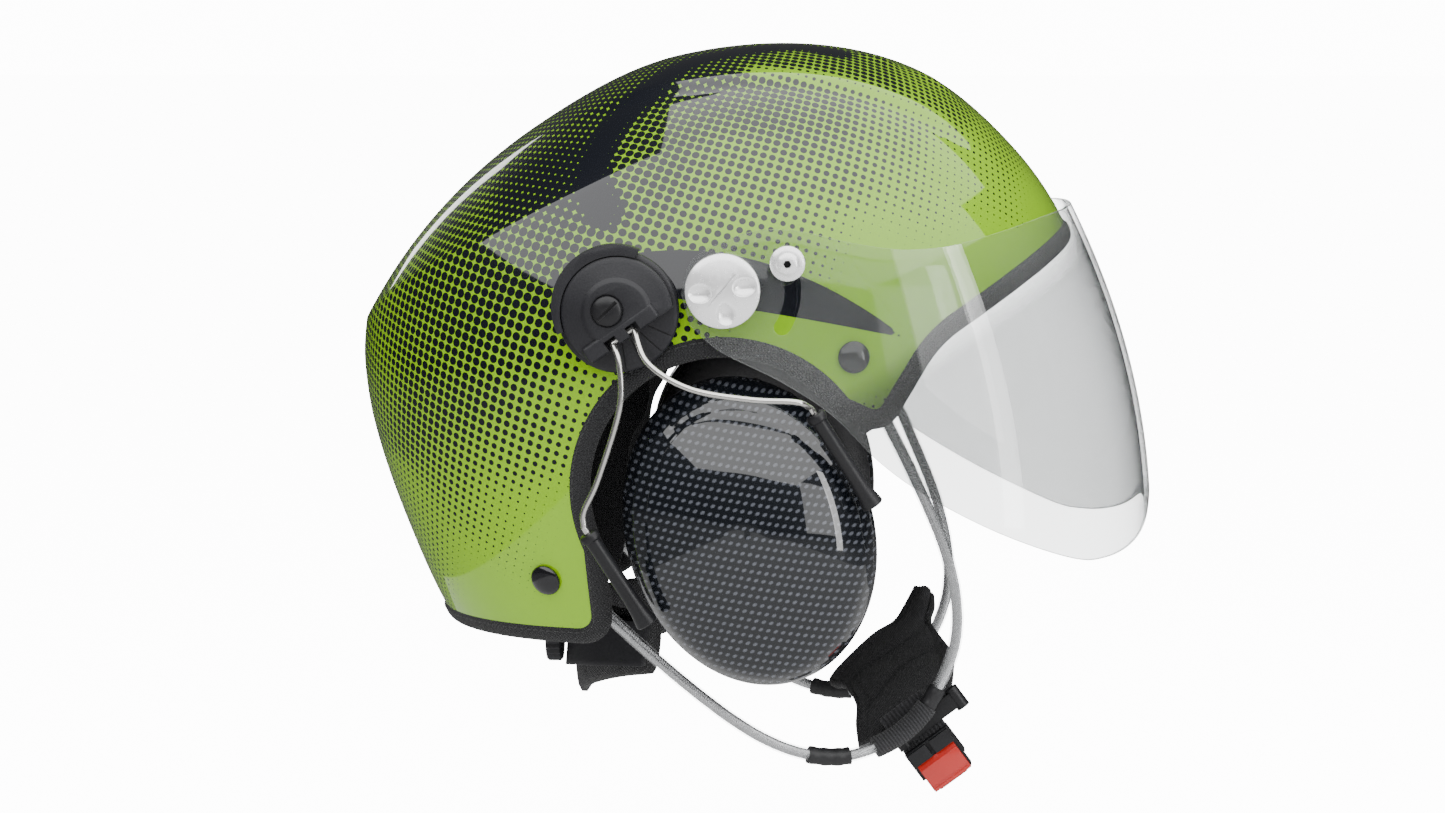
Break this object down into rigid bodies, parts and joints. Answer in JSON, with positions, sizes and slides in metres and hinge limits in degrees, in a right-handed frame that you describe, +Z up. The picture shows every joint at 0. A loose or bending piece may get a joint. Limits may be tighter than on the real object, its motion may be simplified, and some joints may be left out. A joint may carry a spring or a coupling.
{
  "type": "open-face helmet",
  "caption": "Open-face safety helmet with tilting clear visor, ear muffs on swinging wire yokes, cable chin harness with quick buckle, and a dial-adjusted nape support.",
  "frame": {"origin": "the middle of the crown pad's flat underside, where the helmet rests on a head", "axes": "+X forward, +Y the wearer's left, +Z up, with the helmet pitched as it is worn looking slightly down"},
  "size_m": [0.3118, 0.2742, 0.2932],
  "materials": {
    "lime_shell": "clear-coated lime shell with a black halftone fade",
    "black_foam": "moulded foam",
    "black_fabric": "woven and padded black fabric",
    "black_plastic": "satin moulded plastic",
    "dark_plastic": "fine-textured dark grey plastic",
    "carbon": "carbon-weave film under a gloss coat",
    "black_leather": "soft synthetic leather",
    "clear_visor": "clear moulded polycarbonate",
    "aluminium": "turned and satin",
    "steel": "drawn stainless wire",
    "cable_steel": "twisted steel under clear coating",
    "heat_shrink": "shrunk sleeve",
    "red_plastic": "moulded red plastic"
  },
  "bodies": {
    "helmet": {"outer_shell": "lime_shell", "eps_liner": "black_foam", "edge_trim": "black_fabric", "crown_pad": "black_fabric", "brow_pad": "black_fabric", "side_pad_right": "black_fabric", "side_pad_left": "black_fabric", "rear_pad": "black_fabric", "chin_cup": "black_fabric", "chin_webbing": "black_fabric", "chin_loop": "black_fabric", "front_rivet_right": "black_plastic", "front_rivet_left": "black_plastic", "rear_rivet_right": "black_plastic", "rear_rivet_left": "black_plastic", "pivot_bush_right": "black_plastic", "pivot_bush_left": "black_plastic", "muff_mount_screw_right": "black_plastic", "muff_mount_screw_left": "black_plastic", "buckle_body": "black_plastic", "strap_adjuster": "black_plastic", "muff_mount_base_right": "dark_plastic", "muff_mount_base_left": "dark_plastic", "guide_washer_right": "aluminium", "guide_washer_left": "aluminium", "guide_screw_right": "aluminium", "guide_screw_left": "aluminium", "pivot_bolt_right": "steel", "pivot_bolt_left": "steel", "steel_cable_right": "cable_steel", "steel_cable_left": "cable_steel", "cable_collar_right": "heat_shrink", "cable_collar_left": "heat_shrink"},
    "visor": {"visor": "clear_visor"},
    "knob_right": {"visor_knob_right": "aluminium"},
    "rotor_right": {"muff_rotor_right": "dark_plastic"},
    "yoke_right": {"wire_yoke_right": "steel"},
    "sleeves_right": {"yoke_sleeve_front_right": "black_plastic", "yoke_sleeve_rear_right": "black_plastic"},
    "muff_right": {"muff_cup_right": "carbon", "muff_foam_right": "black_foam", "muff_plate_right": "black_plastic", "ear_cushion_right": "black_leather"},
    "knob_left": {"visor_knob_left": "aluminium"},
    "rotor_left": {"muff_rotor_left": "dark_plastic"},
    "yoke_left": {"wire_yoke_left": "steel"},
    "sleeves_left": {"yoke_sleeve_front_left": "black_plastic", "yoke_sleeve_rear_left": "black_plastic"},
    "muff_left": {"muff_cup_left": "carbon", "muff_foam_left": "black_foam", "muff_plate_left": "black_plastic", "ear_cushion_left": "black_leather"},
    "nape": {"nape_cradle": "dark_plastic", "nape_pad": "black_fabric"},
    "dial": {"size_dial": "dark_plastic"},
    "release": {"buckle_release": "red_plastic"},
    "tongue": {"buckle_tongue": "black_plastic"}
  },
  "joints": [
    {"name": "visor_tilt", "type": "hinge", "parent": "helmet", "child": "visor", "pos_m": [-0.004, 0, -0.046], "axis": [0, -1, 0], "range_deg": [0, 55]},
    {"name": "knob_turn_right", "type": "hinge", "parent": "helmet", "child": "knob_right", "pos_m": [-0.004, -0.1225, -0.046], "axis": [0, -1, 0], "range_deg": [-90, 90]},
    {"name": "muff_turn_right", "type": "hinge", "parent": "helmet", "child": "rotor_right", "pos_m": [-0.046, -0.12, -0.053], "axis": [0, -1, 0], "range_deg": [-2.5, 2.5]},
    {"name": "yoke_swing_right", "type": "hinge", "parent": "rotor_right", "child": "yoke_right", "pos_m": [-0.0405, -0.125, -0.0622], "axis": [-0.8192, 0, -0.5736], "range_deg": [0, 45]},
    {"name": "muff_slide_right", "type": "slide", "parent": "yoke_right", "child": "sleeves_right", "axis": [0.5298, 0.1199, -0.8396], "range_m": [-0.002, 0.012]},
    {"name": "muff_tilt_right", "type": "hinge", "parent": "sleeves_right", "child": "muff_right", "pos_m": [-0.00054, -0.12529, -0.13081], "axis": [-0.8802, 0.0264, -0.4739], "range_deg": [-3, 3]},
    {"name": "knob_turn_left", "type": "hinge", "parent": "helmet", "child": "knob_left", "pos_m": [-0.004, 0.1225, -0.046], "axis": [0, 1, 0], "range_deg": [-90, 90]},
    {"name": "muff_turn_left", "type": "hinge", "parent": "helmet", "child": "rotor_left", "pos_m": [-0.046, 0.12, -0.053], "axis": [0, 1, 0], "range_deg": [-2.5, 2.5]},
    {"name": "yoke_swing_left", "type": "hinge", "parent": "rotor_left", "child": "yoke_left", "pos_m": [-0.0405, 0.125, -0.0622], "axis": [0.8192, 0, 0.5736], "range_deg": [0, 45]},
    {"name": "muff_slide_left", "type": "slide", "parent": "yoke_left", "child": "sleeves_left", "axis": [0.5298, -0.1199, -0.8396], "range_m": [-0.002, 0.012]},
    {"name": "muff_tilt_left", "type": "hinge", "parent": "sleeves_left", "child": "muff_left", "pos_m": [-0.00054, 0.12529, -0.13081], "axis": [0.8802, 0.0264, 0.4739], "range_deg": [-3, 3]},
    {"name": "nape_slide", "type": "slide", "parent": "helmet", "child": "nape", "axis": [1, 0, 0], "range_m": [0, 0.01]},
    {"name": "dial_turn", "type": "hinge", "parent": "nape", "child": "dial", "pos_m": [-0.0765, 0, -0.1935], "axis": [-1, 0, 0], "range_deg": [0, 270]},
    {"name": "release_lift", "type": "hinge", "parent": "helmet", "child": "release", "pos_m": [0.07778, -0.06, -0.23194], "axis": [-0.8, 0, -0.6], "range_deg": [0, 25], "stiffness_Nm_per_rad": 0.02},
    {"name": "tongue_slide", "type": "slide", "parent": "helmet", "child": "tongue", "axis": [0.6, 0, -0.8], "range_m": [0, 0.012]}
  ],
  "couplings": [
    {"joint": "dial_turn", "follows": "nape_slide", "rad_per_m": 471.24}
  ]
}
